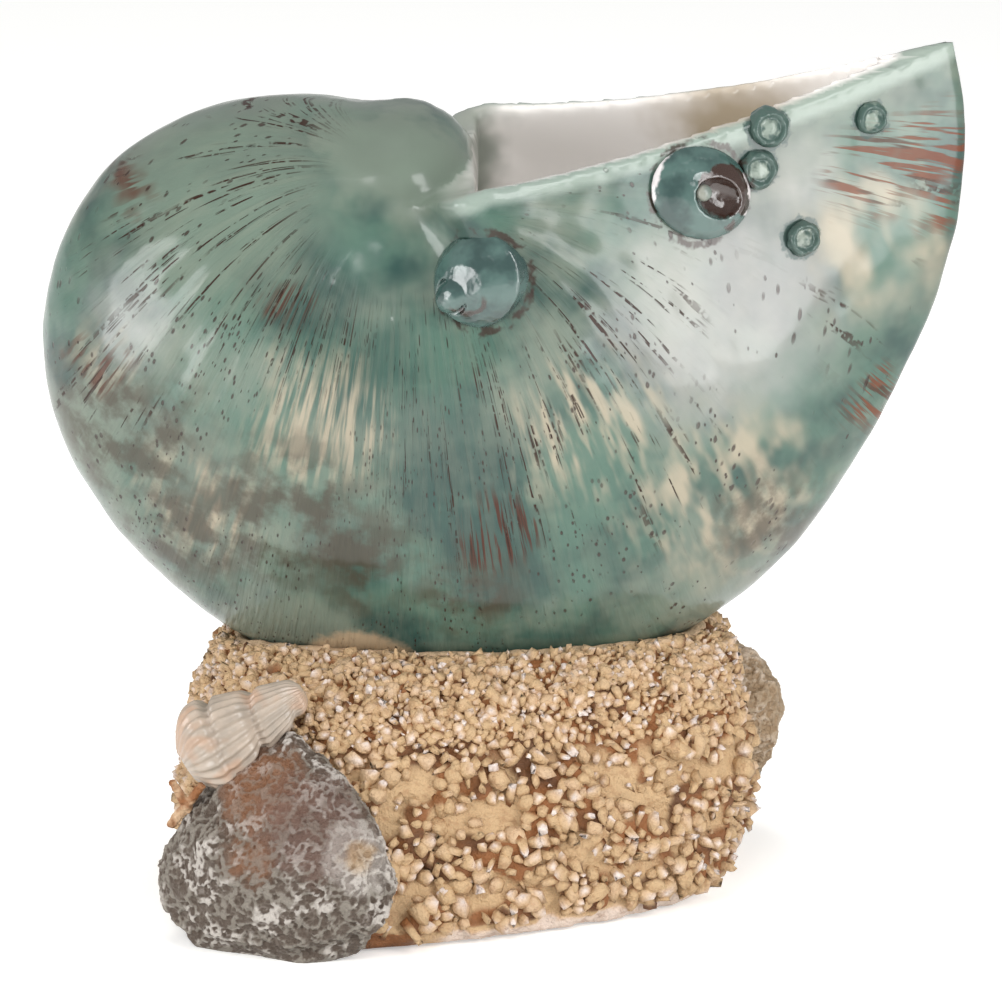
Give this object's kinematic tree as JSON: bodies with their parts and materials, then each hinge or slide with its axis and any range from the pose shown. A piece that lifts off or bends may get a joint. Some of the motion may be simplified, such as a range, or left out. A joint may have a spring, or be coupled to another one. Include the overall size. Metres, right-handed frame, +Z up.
{
  "type": "seashell figurine",
  "caption": "Nautilus-shaped bowl lying mouth up on a coral rock stand, with limpets, barnacles, oyster valves, a whelk and a coral twig set on it, as a table ornament.",
  "frame": {"origin": "on the flat underside of the stand, in the middle plane of the nautilus shell", "axes": "+X along the coil towards the tip of the mouth, +Z up, -Y out of the flank that carries the limpets and barnacles"},
  "size_m": [0.2004, 0.1269, 0.1891],
  "materials": {
    "teal_lacquer": "cast resin with mottled verdigris paint under clear gloss lacquer",
    "deep_teal_lacquer": "cast resin, dark teal paint under clear gloss lacquer",
    "pearl_glaze": "cast resin, pearl white paint under clear gloss lacquer",
    "seat_putty": "matt sand-coloured filler",
    "coral_crust": "cast resin with a rough crust of sand and coral chips",
    "oyster_crust": "cast resin, matt grey with brown pits",
    "ochre_coral": "cast resin, matt ochre"
  },
  "bodies": {
    "root": {"shell_bowl": "teal_lacquer", "seat_putty": "seat_putty", "reef_stand": "coral_crust", "limpet_left": "deep_teal_lacquer", "limpet_right": "deep_teal_lacquer", "limpet_right_bead": "pearl_glaze", "barnacle_1": "teal_lacquer", "barnacle_2": "teal_lacquer", "barnacle_3": "teal_lacquer", "barnacle_4": "teal_lacquer", "oyster_front": "oyster_crust", "oyster_rear": "oyster_crust", "whelk": "pearl_glaze", "coral_twig": "ochre_coral"}
  },
  "joints": []
}
